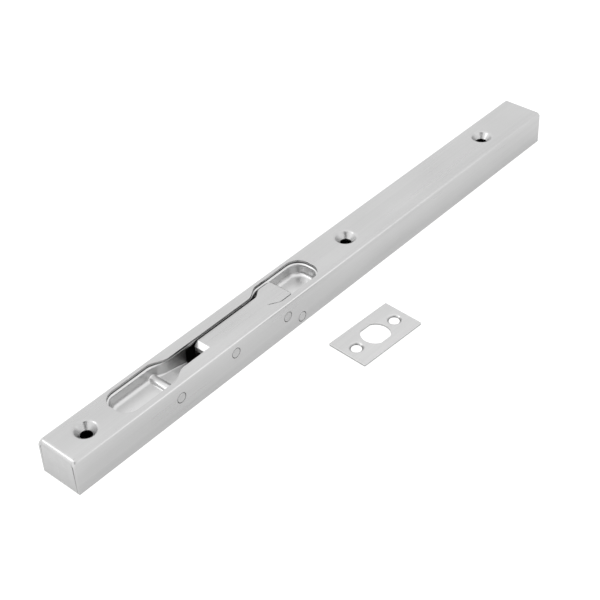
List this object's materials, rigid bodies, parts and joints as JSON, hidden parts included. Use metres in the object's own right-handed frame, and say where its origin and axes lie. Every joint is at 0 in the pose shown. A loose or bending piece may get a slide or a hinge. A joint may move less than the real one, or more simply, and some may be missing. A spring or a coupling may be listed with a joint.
{
  "type": "lever flush bolt",
  "caption": "Lever-action flush bolt: long folded sheet case with a recessed finger lever that drives a round bolt out of its end, and a loose strike plate.",
  "frame": {"origin": "centre of the face plate's outer face", "axes": "+X along the case to the end where the bolt comes out, +Z out of the face plate, case below it"},
  "size_m": [0.3, 0.0593, 0.0165],
  "materials": {
    "case_sheet": "brushed along the length, satin",
    "pan_sheet": "pressed, satin",
    "lever_steel": "brushed along the length, satin",
    "pin_steel": "turned, satin",
    "plated_steel": "dull zinc plate",
    "bolt_steel": "turned, satin",
    "spring_steel": "bright spring steel",
    "strike_sheet": "brushed along the length, satin"
  },
  "bodies": {
    "housing": {"case": "case_sheet", "recess_pan": "pan_sheet", "pivot_rivet_near": "pin_steel", "pivot_rivet_far": "pin_steel", "rest_pin_rear": "pin_steel", "rest_pin_front": "pin_steel", "guide_pin": "pin_steel", "bolt_guide": "pan_sheet"},
    "hand_lever": {"lever": "lever_steel", "crank_pin": "pin_steel"},
    "link": {"link_near": "plated_steel", "link_far": "plated_steel", "link_pin": "pin_steel"},
    "bolt_slide": {"drawbar": "plated_steel", "drive_yoke": "plated_steel", "bolt": "bolt_steel", "bolt_rivet_rear": "pin_steel", "bolt_rivet_front": "pin_steel", "friction_spring": "spring_steel", "spring_rivet": "pin_steel"},
    "strike": {"strike_plate": "strike_sheet"}
  },
  "joints": [
    {"name": "lever_hinge", "type": "hinge", "parent": "housing", "child": "hand_lever", "pos_m": [-0.065, 0, -0.0059], "axis": [0, -1, 0], "range_deg": [0, 169]},
    {"name": "link_hinge", "type": "hinge", "parent": "hand_lever", "child": "link", "pos_m": [-0.07157, 0, -0.00653], "axis": [0, -1, 0], "range_deg": [-169.01, 0]},
    {"name": "bolt_throw", "type": "slide", "parent": "housing", "child": "bolt_slide", "axis": [1, 0, 0], "range_m": [0, 0.01315]},
    {"name": "strike_lift", "type": "slide", "parent": "housing", "child": "strike", "axis": [0, 0, 1], "range_m": [0, 0.03]}
  ],
  "couplings": [
    {"joint": "link_hinge", "follows": "lever_hinge", "ratio": -1},
    {"joint": "bolt_throw", "follows": "lever_hinge", "m_per_rad": 0.0044546}
  ]
}
